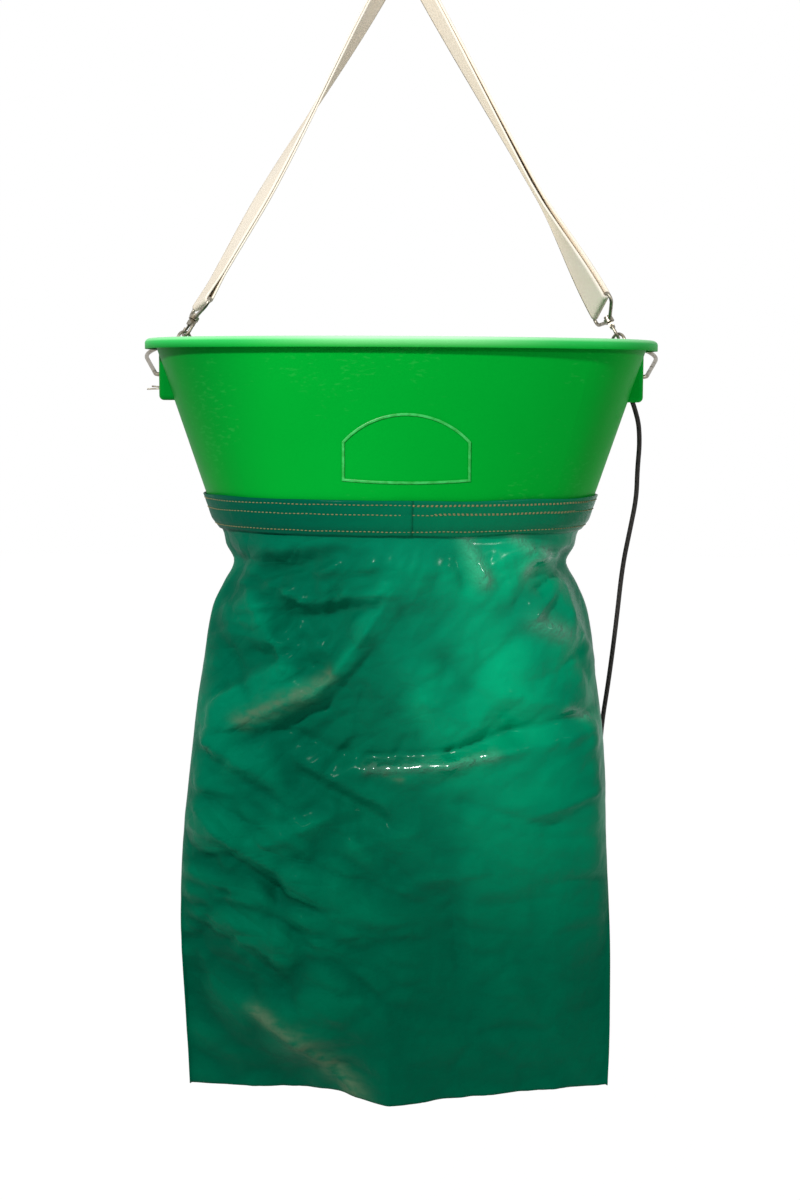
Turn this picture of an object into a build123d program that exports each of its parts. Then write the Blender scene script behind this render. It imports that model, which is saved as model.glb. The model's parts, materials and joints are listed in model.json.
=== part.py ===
from build123d import *
import math
import os

os.makedirs("parts", exist_ok=True)

# Harvest basket: a bottomless oval tub with a fabric sleeve, hung from a peg by its shoulder strap.
# Millimetres. The origin is where the strap bears on the peg, +Z is up and the front faces -Y.

# Place of the tub below and in front of the peg
strap_drop = 380.0
peg_setback = 200.0
peg_radius = 14.0

# Tub: an oval with a turned-down rim, tapering to its open base
rim_width = 480.0
rim_depth = 280.0
rim_end_radius = 110.0
rim_overhang = 8.0
rim_height = 9.5
rim_wall = 2.6
rim_round = 4.5
tub_wall = 2.6
tub_height = 166.0
base_width = 352.0
base_depth = 244.0
base_end_radius = 98.0

# Lugs moulded on the ends of the tub
lug_inset = 13.7
lug_reach = 22.0
lug_width = 34.0
lug_bottom = 57.0
lug_round = 5.0
lug_foot_round = 4.5

# Bail of bent wire, folded back on to the rear rim
bail_wire = 4.0
bail_play = 0.05
bail_pivot_depth = 33.0
bail_reach = 136.0
bail_shoulder = 4.5
bail_flare = 15.0
bail_corner = 60.0
bail_bend = 5.0
bail_tail = 9.0
bail_tail_inset = 8.0
bail_rest_gap = 0.3

# Fabric sleeve below the tub, and the collar band over its sewn edge
sleeve_wall = 1.0
sleeve_lap = 18.0
collar_wall = 1.4
collar_lap = 22.0
collar_tail = 12.0
collar_tuck_width = 17.0
collar_tuck_depth = 6.0
collar_tuck_round = 2.8
sewn_gap = 0.2
waist_drop = 210.0
waist_width = 307.0
waist_depth = 250.0
shoulder_drop = 250.0
shoulder_width = 356.0
shoulder_depth = 212.0
upper_drop = 294.0
upper_width = 372.0
upper_depth = 196.0
middle_drop = 368.0
middle_width = 391.0
middle_depth = 168.0
lower_drop = 568.0
lower_width = 414.0
lower_depth = 132.0
ridge_drop = 640.0
ridge_width = 412.0
ridge_depth = 127.0
foot_drop = 725.0
foot_width = 409.0
foot_depth = 122.0
sleeve_end_share = 0.8

# Front sheet of the sleeve near its foot: how far it stands out at these places across
front_places = (-150.0, -100.0, -60.0, -10.0, 70.0, 150.0)
ridge_front = (30.0, 53.0, 60.0, 62.0, 41.0, 22.0)
foot_front = (8.0, 10.0, 18.0, 60.0, 33.0, 13.0)

# Wire eyes that stand on the rear corners of the rim, each on a backing plate
eye_bearing = 38.7
eye_wire = 3.0
eye_spacing = 18.0
eye_top = 10.5
eye_hole_play = 0.2
plate_length = 22.0
plate_width = 4.2
plate_thickness = 1.2
eye_head = 4.0
eye_head_height = 1.2

# Swivel snap hooks, measured up the line of pull from the bottom of the bend
hook_wire = 3.0
hook_gape = 10.0
hook_play = 0.8
hook_nose = 8.5
hook_spine = 9.5
hook_shoulder = 60.0
neck_low = 11.5
neck_high = 17.5
neck_round = 1.5
neck_width = 8.0
neck_thickness = 5.0
stem_diameter = 4.0
stem_head = 6.5
stem_head_height = 2.5
swivel_play = 0.08
swivel_end_play = 0.2
left_hook_turn = 43.0
right_hook_turn = -15.0

# Sprung gate that closes each hook
gate_pin = 1.5
gate_pin_rise = 14.0
gate_pin_inset = 2.0
gate_thickness = 1.9
gate_slot_play = 0.15
gate_hub = 3.2
gate_tongue = 1.2
gate_tip_rise = 6.8
gate_nose_gap = 0.2
pin_play = 0.02
gate_play = 0.05

# Wire loops that hold the strap
loop_wire = 3.5
loop_rise = 38.0
loop_side = 9.0
loop_corner = 4.0
loop_hip = 6.0
collar_ring = 9.6
collar_ring_low = 18.0
collar_ring_height = 4.0

# Shoulder strap of doubled webbing
strap_width = 50.0
strap_thickness = 2.0
strap_layer_gap = 0.6
strap_bar_gap = 0.2
left_strap_twist = 24.0
right_strap_twist = 8.0
strap_plain = 180.0

# Split pin in the left lug
catch_wire = 1.5
catch_depth = 45.5
catch_hole_play = 0.15
catch_long_leg = 13.0
catch_short_leg = 8.5
catch_spread = 0.55
catch_eye = 7.0
catch_eye_root = 3.75
catch_eye_round = 2.0
catch_half = 0.8

# Cord from the right lug to the rear of the sleeve
cord_diameter = 4.5
cord_hole = 5.6
cord_hole_lean = 23.0
cord_hole_depth = 47.0
cord_hole_forward = 9.0
knot_diameter = 11.0
knot_seat_gap = 0.7
knot_flat_share = 0.85
eyelet_hole = 5.0
eyelet_barrel = 7.0
eyelet_flange = 14.0
eyelet_flange_wall = 0.8
eyelet_gap = 0.5
eyelet_rise = 22.0
eyelet_offset = 120.0

# Driven places
rim_z = -strap_drop
tub_y = -peg_setback
mouth_width = rim_width - 2 * rim_overhang
mouth_depth = rim_depth - 2 * rim_overhang
mouth_end_radius = rim_end_radius - rim_overhang
lug_face = rim_width / 2 - lug_inset


def level(depth):
    """A horizontal plane on the tub's axis, this far below the top of the rim."""
    return Plane((0, tub_y, rim_z - depth))


def oval(width, depth, end_radius, margin=0.0, mode=Mode.ADD):
    """A four-arc oval, grown by a margin: two round ends and two long flat sides."""
    half_width = width / 2 + margin
    half_depth = depth / 2 + margin
    end = end_radius + margin
    side = ((half_width - end) ** 2 + half_depth**2 - end**2) / (2 * (half_depth - end))
    swing = math.degrees(math.atan2(side - half_depth, half_width - end))
    with BuildLine() as outline:
        CenterArc((half_width - end, 0), end, -swing, 2 * swing)
        CenterArc((0, half_depth - side), side, swing, 180 - 2 * swing)
        CenterArc((end - half_width, 0), end, 180 - swing, 2 * swing)
        CenterArc((0, side - half_depth), side, 180 + swing, 180 - 2 * swing)
    make_face(outline.edges(), mode=mode)


def wall_at(depth):
    """Width, depth and end radius of the tub's outside at a depth below the rim's top."""
    share = depth / tub_height
    return (
        mouth_width + (base_width - mouth_width) * share,
        mouth_depth + (base_depth - mouth_depth) * share,
        mouth_end_radius + (base_end_radius - mouth_end_radius) * share,
    )


def oval_wall(sections, margin, mode=Mode.ADD):
    """A solid lofted through (depth, oval sizes) sections, all grown by a margin."""
    faces = []
    for depth, sizes in sections:
        with BuildSketch(level(depth)) as section:
            oval(*sizes, margin=margin)
        faces.append(section.sketch.face())
    loft(faces, ruled=True, mode=mode)


# Rear corners of the rim, where the eyes stand between the wall and the turned-down skirt
eye_circle = (mouth_end_radius + rim_end_radius - rim_wall) / 2
eye_x = rim_width / 2 - rim_end_radius + eye_circle * math.cos(math.radians(eye_bearing))
eye_y = eye_circle * math.sin(math.radians(eye_bearing))


def eye_plane(side):
    """Upright plane through an eye: local X runs along the rim and local Y is up."""
    along = math.sin(math.radians(eye_bearing))
    across = math.cos(math.radians(eye_bearing))
    return Plane(
        origin=(side * eye_x, tub_y + eye_y, rim_z),
        x_dir=(-along, side * across, 0),
        z_dir=(side * across, along, 0),
    )


# Tub
with BuildPart() as tub:
    with BuildSketch(level(lug_bottom)):
        with Locations((lug_reach / 2 - lug_face, 0), (lug_face - lug_reach / 2, 0)):
            RectangleRounded(lug_reach, lug_width, lug_round)
    extrude(amount=lug_bottom - rim_wall)
    fillet(tub.edges().group_by(Axis.Z)[0], lug_foot_round)
    tub_ends = [(tub_height, wall_at(tub_height)), (0, wall_at(0))]
    oval_wall(tub_ends, 0)
    oval_wall(tub_ends, -tub_wall, mode=Mode.SUBTRACT)
    with BuildSketch(level(rim_wall)):
        oval(rim_width, rim_depth, rim_end_radius)
        oval(mouth_width, mouth_depth, mouth_end_radius, margin=-tub_wall / 2, mode=Mode.SUBTRACT)
    extrude(amount=rim_wall)
    with BuildSketch(level(rim_height)):
        oval(rim_width, rim_depth, rim_end_radius)
        oval(rim_width, rim_depth, rim_end_radius, margin=-rim_wall, mode=Mode.SUBTRACT)
    extrude(amount=rim_height)
    top_edges = tub.faces().sort_by(Axis.Z)[-1].outer_wire().edges()
    fillet(top_edges, rim_round)
    # Bail pivot holes run through both lugs
    with BuildSketch(Plane((0, tub_y, rim_z - bail_pivot_depth), x_dir=(0, 1, 0), z_dir=(1, 0, 0))):
        Circle(bail_wire / 2 + bail_play)
    extrude(amount=rim_width, both=True, mode=Mode.SUBTRACT)
    # Hole for the split pin, in the left lug
    with BuildSketch(Plane((0, tub_y, rim_z - catch_depth), x_dir=(0, 1, 0), z_dir=(-1, 0, 0))):
        Circle(catch_wire + catch_hole_play)
    extrude(amount=rim_width, mode=Mode.SUBTRACT)
    # Holes for the eyes' legs
    for side in (-1, 1):
        leg_plane = eye_plane(side)
        for end in (-1, 1):
            spot = leg_plane.from_local_coords((end * eye_spacing / 2, 0, 0))
            with BuildSketch(Plane(spot)):
                Circle(eye_wire / 2 + eye_hole_play)
            extrude(amount=-rim_wall, mode=Mode.SUBTRACT)
    # Slanting hole for the cord, out through the bottom of the right lug
    cord_lean = math.radians(cord_hole_lean)
    cord_mouth_x = wall_at(cord_hole_depth)[0] / 2 - tub_wall
    cord_mouth = Vector(cord_mouth_x, tub_y - cord_hole_forward, rim_z - cord_hole_depth)
    cord_way = Vector(math.sin(cord_lean), 0, -math.cos(cord_lean))
    with BuildSketch(Plane(cord_mouth - cord_way * lug_reach, z_dir=cord_way)):
        Circle(cord_hole / 2)
    extrude(amount=lug_bottom + lug_reach, mode=Mode.SUBTRACT)
tub.part.label = "tub"
export_step(tub.part, "parts/tub.step")


# Sleeve: the outside sizes of the sewn foot of the collar and of the sections below it
def sleeve_size(width, depth):
    """Width, depth and end radius of a section of the sleeve."""
    return width, depth, sleeve_end_share * depth / 2


def grown(sizes, margin):
    """The same oval, further out all round."""
    return sizes[0] + 2 * margin, sizes[1] + 2 * margin, sizes[2] + margin


sleeve_margin = sewn_gap + sleeve_wall
collar_foot = tub_height + collar_tail
collar_foot_size = (
    base_width - collar_tuck_width,
    base_depth - collar_tuck_depth,
    base_end_radius - collar_tuck_round,
)
sleeve_sections = [
    (tub_height - sleeve_lap, grown(wall_at(tub_height - sleeve_lap), sleeve_margin), ()),
    (tub_height, grown(wall_at(tub_height), sleeve_margin), ()),
    (collar_foot, collar_foot_size, ()),
    (waist_drop, sleeve_size(waist_width, waist_depth), ()),
    (shoulder_drop, sleeve_size(shoulder_width, shoulder_depth), ()),
    (upper_drop, sleeve_size(upper_width, upper_depth), ()),
    (middle_drop, sleeve_size(middle_width, middle_depth), ()),
    (lower_drop, sleeve_size(lower_width, lower_depth), ()),
    (ridge_drop, sleeve_size(ridge_width, ridge_depth), ridge_front),
    (foot_drop, sleeve_size(foot_width, foot_depth), foot_front),
]


def sleeve_solid(margin, mode=Mode.ADD):
    """The sleeve's form, grown by a margin: ovals, with a front line of their own near the foot."""
    faces = []
    for drop, sizes, front in sleeve_sections:
        half_width = sizes[0] / 2 + margin
        half_depth = sizes[1] / 2 + margin
        end = sizes[2] + margin
        side = ((half_width - end) ** 2 + half_depth**2 - end**2) / (2 * (half_depth - end))
        swing = math.degrees(math.atan2(side - half_depth, half_width - end))
        with BuildSketch(level(drop)) as section:
            with BuildLine() as outline:
                CenterArc((half_width - end, 0), end, 0, swing)
                CenterArc((0, half_depth - side), side, swing, 180 - 2 * swing)
                CenterArc((end - half_width, 0), end, 180 - swing, swing)
                if front:
                    spots = [(x, -reach - margin) for x, reach in zip(front_places, front)]
                    Line((-half_width, 0), spots[0])
                    Spline(*spots)
                    Line(spots[-1], (half_width, 0))
                else:
                    CenterArc((end - half_width, 0), end, 180, swing)
                    CenterArc((0, side - half_depth), side, 180 + swing, 180 - 2 * swing)
                    CenterArc((half_width - end, 0), end, -swing, swing)
            make_face(outline.edges())
        faces.append(section.sketch.face())
    loft(faces, ruled=True, mode=mode)


with BuildPart() as bag_sleeve:
    sleeve_solid(0)
    sleeve_solid(-sleeve_wall, mode=Mode.SUBTRACT)
    # Hole for the cord's eyelet, square to the rear of the sleeve
    eyelet_level = rim_z - foot_drop + eyelet_rise
    probe = Axis((eyelet_offset, tub_y, eyelet_level), (0, 1, 0))
    rear_hits = bag_sleeve.part.find_intersection_points(probe)
    eyelet_spot, eyelet_facing = max(rear_hits, key=lambda hit: hit[0].Y)
    eyelet_plane = Plane(eyelet_spot, z_dir=eyelet_facing)
    with BuildSketch(eyelet_plane):
        Circle(eyelet_barrel / 2 + sewn_gap)
    extrude(amount=eyelet_flange, both=True, mode=Mode.SUBTRACT)
bag_sleeve.part.label = "bag_sleeve"
export_step(bag_sleeve.part, "parts/bag_sleeve.step")


# Collar band, sewn over the sleeve's edge and round the foot of the tub
collar_sections = [
    (tub_height - collar_lap, grown(wall_at(tub_height - collar_lap), sleeve_margin)),
    (tub_height, grown(wall_at(tub_height), sleeve_margin)),
    (collar_foot, collar_foot_size),
]
with BuildPart() as collar_band:
    oval_wall(collar_sections, sewn_gap + collar_wall)
    oval_wall(collar_sections, sewn_gap, mode=Mode.SUBTRACT)
collar_band.part.label = "collar_band"
export_step(collar_band.part, "parts/collar_band.step")


# Bail: one bent wire whose ends turn in the lugs
bail_lift = bail_pivot_depth + bail_wire / 2 + bail_rest_gap
bail_tilt = math.asin(bail_lift / bail_reach)
bail_plane = Plane(
    origin=(0, tub_y, rim_z - bail_pivot_depth),
    x_dir=(1, 0, 0),
    z_dir=(0, -math.sin(bail_tilt), math.cos(bail_tilt)),
)
tail_x = wall_at(bail_pivot_depth)[0] / 2 - tub_wall - bail_tail_inset
shoulder_x = lug_face + bail_shoulder
corner_x = shoulder_x + bail_reach * math.tan(math.radians(bail_flare))
with BuildPart() as bail:
    with BuildLine(bail_plane) as bail_path:
        FilletPolyline(
            (-tail_x, bail_tail),
            (-tail_x, 0),
            (-shoulder_x, 0),
            (-corner_x, bail_reach),
            (corner_x, bail_reach),
            (shoulder_x, 0),
            (tail_x, 0),
            (tail_x, bail_tail),
            radius=[bail_bend, bail_bend, bail_corner, bail_corner, bail_bend, bail_bend],
        )
    with BuildSketch(Plane(bail_path.line @ 0, z_dir=bail_path.line % 0)):
        Circle(bail_wire / 2)
    sweep()
bail.part.label = "bail"
export_step(bail.part, "parts/bail.step")


# Split pin through the left lug, with its eye inside the tub and its legs outside
catch_plane = Plane(
    origin=(-lug_face, tub_y, rim_z - catch_depth),
    x_dir=(-1, 0, 0),
    z_dir=(0, 1, 0),
)
catch_through = lug_face - wall_at(catch_depth)[0] / 2 + tub_wall
catch_bends = [catch_wire, catch_wire, catch_eye_round]
with BuildPart() as cord_catch:
    with BuildLine(catch_plane) as catch_path:
        FilletPolyline(
            (catch_short_leg, catch_half + catch_spread),
            (catch_half, catch_half),
            (-catch_through - catch_wire, catch_half),
            (-catch_through - catch_eye_root, catch_eye / 2),
            (-catch_through - catch_eye - catch_wire, catch_eye / 2),
            (-catch_through - catch_eye - catch_wire, -catch_eye / 2),
            (-catch_through - catch_eye_root, -catch_eye / 2),
            (-catch_through - catch_wire, -catch_half),
            (catch_half, -catch_half),
            (catch_long_leg, -catch_half - catch_spread),
            radius=[catch_eye, *catch_bends, *reversed(catch_bends), catch_eye],
        )
    with BuildSketch(Plane(catch_path.line @ 0, z_dir=catch_path.line % 0)):
        Circle(catch_wire / 2)
    sweep()
cord_catch.part.label = "cord_catch"
export_step(cord_catch.part, "parts/cord_catch.step")


# Line of pull of each strap: from the eye up to the peg, in one leaning plane
hook_height = eye_top - eye_wire - hook_play - hook_wire / 2
vee_y = tub_y + eye_y
vee_z = rim_z + hook_height
vee_length = math.hypot(vee_y, vee_z)
vee_plane = Plane(
    origin=(0, 0, 0),
    x_dir=(1, 0, 0),
    z_dir=(0, vee_z / vee_length, -vee_y / vee_length),
)
strap_mid_radius = peg_radius + strap_thickness + strap_layer_gap / 2
peg_distance = math.hypot(eye_x, vee_length - peg_radius)
pull_angle = math.atan2(vee_length - peg_radius, -eye_x) - math.asin(strap_mid_radius / peg_distance)
pull_length = math.sqrt(peg_distance**2 - strap_mid_radius**2)


def pull_plane(side, turn, rise=0.0):
    """Plane square to the line of pull, turned about it, a distance up from the hook's bend."""
    bend = Vector(side * eye_x, vee_y, vee_z)
    pull = vee_plane.x_dir * (side * math.cos(pull_angle)) + vee_plane.y_dir * math.sin(pull_angle)
    across = vee_plane.z_dir.rotate(Axis((0, 0, 0), pull), turn)
    return Plane(bend + pull * rise, x_dir=across, z_dir=pull)


def profile_plane(frame):
    """Plane that holds the line of pull: local X is the frame's X and local Y runs up the pull."""
    return Plane(frame.origin, x_dir=frame.x_dir, z_dir=frame.x_dir.cross(frame.z_dir))


sides = (("left", -1, left_hook_turn, left_strap_twist), ("right", 1, right_hook_turn, right_strap_twist))

# Rim eyes: wire arches whose legs pass through the rim's flange and are headed under a plate
for name, side, hook_turn, strap_twist in sides:
    arch_plane = eye_plane(side)
    arch_centre = eye_top - eye_wire / 2 - eye_spacing / 2
    leg_end = rim_wall + plate_thickness
    with BuildPart() as rim_eye:
        with BuildLine(arch_plane) as arch:
            Line((-eye_spacing / 2, -leg_end), (-eye_spacing / 2, arch_centre))
            CenterArc((0, arch_centre), eye_spacing / 2, 180, -180)
            Line((eye_spacing / 2, arch_centre), (eye_spacing / 2, -leg_end))
        with BuildSketch(Plane(arch.line @ 0, z_dir=arch.line % 0)):
            Circle(eye_wire / 2)
        sweep()
        for end in (-1, 1):
            foot = arch_plane.from_local_coords((end * eye_spacing / 2, -leg_end, 0))
            with BuildSketch(Plane(foot)):
                Circle(eye_head / 2)
            extrude(amount=-eye_head_height)
    rim_eye.part.label = name + "_rim_eye"
    export_step(rim_eye.part, "parts/" + name + "_rim_eye.step")

    plate_top = arch_plane.from_local_coords((0, -rim_wall, 0))
    with BuildPart() as eye_plate:
        with BuildSketch(Plane(plate_top, x_dir=arch_plane.x_dir, z_dir=(0, 0, 1))):
            SlotOverall(plate_length, plate_width)
            with Locations((-eye_spacing / 2, 0), (eye_spacing / 2, 0)):
                Circle(eye_wire / 2 + eye_hole_play, mode=Mode.SUBTRACT)
        extrude(amount=-plate_thickness)
    eye_plate.part.label = name + "_eye_plate"
    export_step(eye_plate.part, "parts/" + name + "_eye_plate.step")


# Snap hooks: a bent wire bend, a slotted neck and a headed stem that turns in the strap loop
ring_top = collar_ring_low + collar_ring_height
head_low = ring_top + swivel_end_play
slot_end = gate_pin_inset - gate_hub / 2 - gate_slot_play
slot_top = gate_pin_rise + gate_hub / 2 + gate_slot_play
slot_width = gate_thickness + 2 * gate_slot_play
for name, side, hook_turn, strap_twist in sides:
    hook_plane = profile_plane(pull_plane(side, hook_turn))
    with BuildPart() as hook:
        with BuildLine(hook_plane) as hook_path:
            Line((-hook_gape / 2, hook_nose), (-hook_gape / 2, hook_gape / 2))
            CenterArc((0, hook_gape / 2), hook_gape / 2, 180, 180)
            Line((hook_gape / 2, hook_gape / 2), (hook_gape / 2, hook_spine))
            CenterArc((0, hook_spine), hook_gape / 2, 0, hook_shoulder)
        with BuildSketch(Plane(hook_path.line @ 0, z_dir=hook_path.line % 0)):
            Circle(hook_wire / 2)
        sweep()
        with BuildSketch(hook_plane):
            with Locations((0, (neck_low + neck_high) / 2)):
                RectangleRounded(neck_width, neck_high - neck_low, neck_round)
        extrude(amount=neck_thickness / 2, both=True)
        with BuildSketch(hook_plane):
            with Locations((-slot_end, slot_top)):
                Rectangle(neck_width, slot_top - neck_low + neck_round, align=(Align.MAX, Align.MAX))
        extrude(amount=slot_width / 2, both=True, mode=Mode.SUBTRACT)
        with BuildSketch(pull_plane(side, hook_turn, neck_high - neck_round)):
            Circle(stem_diameter / 2)
        extrude(amount=head_low + stem_head_height - neck_high + neck_round)
        with BuildSketch(pull_plane(side, hook_turn, head_low)):
            Circle(stem_head / 2)
        extrude(amount=stem_head_height)
        with BuildSketch(hook_plane):
            with Locations((-gate_pin_inset, gate_pin_rise)):
                Circle(gate_pin / 2 + pin_play)
        extrude(amount=neck_thickness, both=True, mode=Mode.SUBTRACT)
    hook.part.label = name + "_hook"
    export_step(hook.part, "parts/" + name + "_hook.step")

    with BuildPart() as gate_pivot:
        with BuildSketch(hook_plane):
            with Locations((-gate_pin_inset, gate_pin_rise)):
                Circle(gate_pin / 2)
        extrude(amount=neck_thickness / 2, both=True)
    gate_pivot.part.label = name + "_gate_pin"
    export_step(gate_pivot.part, "parts/" + name + "_gate_pin.step")

    gate_face = (hook_gape - hook_wire) / 2 - gate_nose_gap
    with BuildPart() as gate:
        with BuildSketch(hook_plane):
            with BuildLine():
                Polyline(
                    (-gate_face, gate_tip_rise),
                    (-gate_face + gate_tongue, gate_tip_rise),
                    (-gate_pin_inset + gate_tongue, gate_pin_rise),
                    (-gate_face, gate_pin_rise),
                    close=True,
                )
            make_face()
            with Locations((-gate_pin_inset, gate_pin_rise)):
                Circle(gate_hub / 2)
                Circle(gate_pin / 2 + gate_play, mode=Mode.SUBTRACT)
        extrude(amount=gate_thickness / 2, both=True)
    gate.part.label = name + "_gate"
    export_step(gate.part, "parts/" + name + "_gate.step")


# Strap loops: a wire frame for the webbing, brazed to the ring that the hook's stem turns in
loop_half = strap_width / 2 + loop_corner
loop_root = (stem_diameter + collar_ring) / 4
loop_root_rise = collar_ring_low + collar_ring_height / 2
for name, side, hook_turn, strap_twist in sides:
    loop_frame = pull_plane(side, strap_twist)
    with BuildPart() as strap_loop:
        with BuildLine(profile_plane(loop_frame)) as loop_path:
            FilletPolyline(
                (-loop_root, loop_root_rise),
                (-loop_half, loop_rise - loop_side),
                (-loop_half, loop_rise),
                (loop_half, loop_rise),
                (loop_half, loop_rise - loop_side),
                (loop_root, loop_root_rise),
                radius=[loop_hip, loop_corner, loop_corner, loop_hip],
            )
        with BuildSketch(Plane(loop_path.line @ 0, z_dir=loop_path.line % 0)):
            Circle(loop_wire / 2)
        sweep()
        with BuildSketch(pull_plane(side, strap_twist, collar_ring_low)):
            Circle(collar_ring / 2)
        extrude(amount=collar_ring_height)
        with BuildSketch(pull_plane(side, strap_twist, collar_ring_low - loop_wire)):
            Circle(stem_diameter / 2 + swivel_play)
        extrude(amount=collar_ring_height + 2 * loop_wire, mode=Mode.SUBTRACT)
    strap_loop.part.label = name + "_strap_loop"
    export_step(strap_loop.part, "parts/" + name + "_strap_loop.step")


# Shoulder strap: one endless band of webbing, doubled over the peg and turned round each loop's bar
fold_inner = loop_wire / 2 + strap_bar_gap
fold_outer = fold_inner + strap_thickness
bend_start = math.degrees(pull_angle) - 90
with BuildPart() as strap:
    for layer in (-1, 1):
        layer_shift = layer * (strap_thickness + strap_layer_gap) / 2
        inner_radius = strap_mid_radius + layer_shift - strap_thickness / 2
        with BuildSketch(vee_plane):
            with Locations((0, -peg_radius)):
                Circle(inner_radius + strap_thickness)
                Circle(inner_radius, mode=Mode.SUBTRACT)
            with BuildLine():
                reach = 2 * strap_mid_radius
                wedge_x = reach * math.cos(math.radians(bend_start))
                wedge_y = reach * math.sin(math.radians(bend_start)) - peg_radius
                Polyline((0, -peg_radius), (wedge_x, wedge_y), (reach, 2 * reach), (-reach, 2 * reach))
                Polyline((-reach, 2 * reach), (-wedge_x, wedge_y), (0, -peg_radius))
            make_face(mode=Mode.INTERSECT)
        extrude(amount=strap_width / 2, both=True)
        for name, side, hook_turn, strap_twist in sides:
            top_shift = side * layer_shift
            foot_shift = side * layer * (fold_inner + strap_thickness / 2)
            plain_share = strap_plain / (pull_length - loop_rise)
            plain_shift = foot_shift + (top_shift - foot_shift) * plain_share
            # Each layer hangs flat for a while, then turns to lie square on the peg
            for rise, twist, shift in (
                (loop_rise, strap_twist, foot_shift),
                (loop_rise + strap_plain, strap_twist, plain_shift),
                (pull_length, 0, top_shift),
            ):
                with BuildSketch(pull_plane(side, twist, rise)):
                    with Locations((0, shift)):
                        Rectangle(strap_width, strap_thickness)
            loft(ruled=True)
    for name, side, hook_turn, strap_twist in sides:
        bar = pull_plane(side, strap_twist, loop_rise)
        with BuildSketch(Plane(bar.origin, x_dir=bar.y_dir, z_dir=bar.x_dir)):
            Circle(fold_outer)
            Circle(fold_inner, mode=Mode.SUBTRACT)
            Rectangle(2 * fold_outer, fold_outer, align=(Align.CENTER, Align.MIN), mode=Mode.SUBTRACT)
        extrude(amount=strap_width / 2, both=True)
strap.part.label = "strap"
export_step(strap.part, "parts/strap.step")


# Knot that stops the cord inside the tub, over the slanting hole in the right lug
wall_lean = math.atan2((mouth_width - base_width) / 2, tub_height)
hole_slant = math.sin(cord_lean) * math.cos(wall_lean) + math.cos(cord_lean) * math.sin(wall_lean)
knot_radius = knot_diameter / 2
knot_flat = knot_flat_share * knot_radius
top_knot_centre = cord_mouth - cord_way * ((knot_radius + knot_seat_gap) / hole_slant)
with BuildPart() as cord_top_knot:
    with Locations(top_knot_centre):
        Sphere(knot_radius)
    split(bisect_by=Plane(top_knot_centre + cord_way * knot_flat, z_dir=cord_way), keep=Keep.BOTTOM)
cord_top_knot.part.label = "cord_top_knot"
export_step(cord_top_knot.part, "parts/cord_top_knot.step")


# Eyelet pressed through the rear of the sleeve
with BuildPart() as cord_eyelet:
    outer_face = eyelet_gap
    inner_face = -sleeve_wall - eyelet_gap
    with BuildSketch(eyelet_plane.offset(inner_face - eyelet_flange_wall)):
        Circle(eyelet_flange / 2)
    extrude(amount=eyelet_flange_wall)
    with BuildSketch(eyelet_plane.offset(outer_face)):
        Circle(eyelet_flange / 2)
    extrude(amount=eyelet_flange_wall)
    with BuildSketch(eyelet_plane.offset(inner_face)):
        Circle(eyelet_barrel / 2)
    extrude(amount=outer_face - inner_face)
    with BuildSketch(eyelet_plane):
        Circle(eyelet_hole / 2)
    extrude(amount=eyelet_flange, both=True, mode=Mode.SUBTRACT)
cord_eyelet.part.label = "cord_eyelet"
export_step(cord_eyelet.part, "parts/cord_eyelet.step")


# Cord: points from the middle of the tub's mouth, down the right side and behind the sleeve
cord_route = [
    (222.1, -9.0, -67.2),
    (225.5, -4.0, -93.0),
    (224.5, 3.0, -120.0),
    (225.0, 9.0, -147.0),
    (220.5, 14.0, -176.0),
    (214.0, 19.0, -214.0),
    (209.5, 21.0, -268.0),
    (203.5, 24.0, -326.0),
    (197.5, 28.0, -372.0),
    (196.0, 34.0, -424.0),
    (191.0, 46.0, -476.0),
    (181.0, 57.0, -526.0),
    (167.0, 65.0, -572.0),
    (151.0, 68.0, -612.0),
    (138.0, 68.0, -647.0),
    (128.0, 66.0, -677.0),
]
cord_turn = 0.45
end_knot_rise = eyelet_gap + eyelet_flange_wall + knot_seat_gap + knot_radius
end_knot_centre = eyelet_plane.from_local_coords((0, 0, end_knot_rise))
cord_points = [top_knot_centre + cord_way * knot_flat]
for x, y, z in cord_route:
    cord_points.append(Vector(x, tub_y + y, rim_z + z))
end_way = (end_knot_centre - cord_points[-1]).normalized()
cord_points.append(end_knot_centre - end_way * knot_flat)
cord_radii = []
for before, here, after in zip(cord_points, cord_points[1:], cord_points[2:]):
    turn = (here - before).get_angle(after - here)
    shorter = min((here - before).length, (after - here).length)
    cord_radii.append(cord_turn * shorter / math.tan(math.radians(turn) / 2))
print("cord radii", [round(radius) for radius in cord_radii])
with BuildPart() as cord:
    with BuildLine() as cord_path:
        FilletPolyline(*cord_points, radius=cord_radii)
    with BuildSketch(Plane(cord_path.line @ 0, z_dir=cord_path.line % 0)):
        Circle(cord_diameter / 2)
    sweep()
cord_section = math.pi * cord_diameter**2 / 4
cord_length = cord_path.wires()[0].length
print("cord length", round(cord_length, 1))
print("cord volume over section times length", round(cord.part.volume / cord_section / cord_length, 4))
cord.part.label = "cord"
export_step(cord.part, "parts/cord.step")

with BuildPart() as cord_end_knot:
    with Locations(end_knot_centre):
        Sphere(knot_radius)
    split(bisect_by=Plane(end_knot_centre - end_way * knot_flat, z_dir=end_way), keep=Keep.TOP)
cord_end_knot.part.label = "cord_end_knot"
export_step(cord_end_knot.part, "parts/cord_end_knot.step")
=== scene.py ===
import json
import math

import bmesh
import bpy
from mathutils import Matrix, Vector, noise


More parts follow.
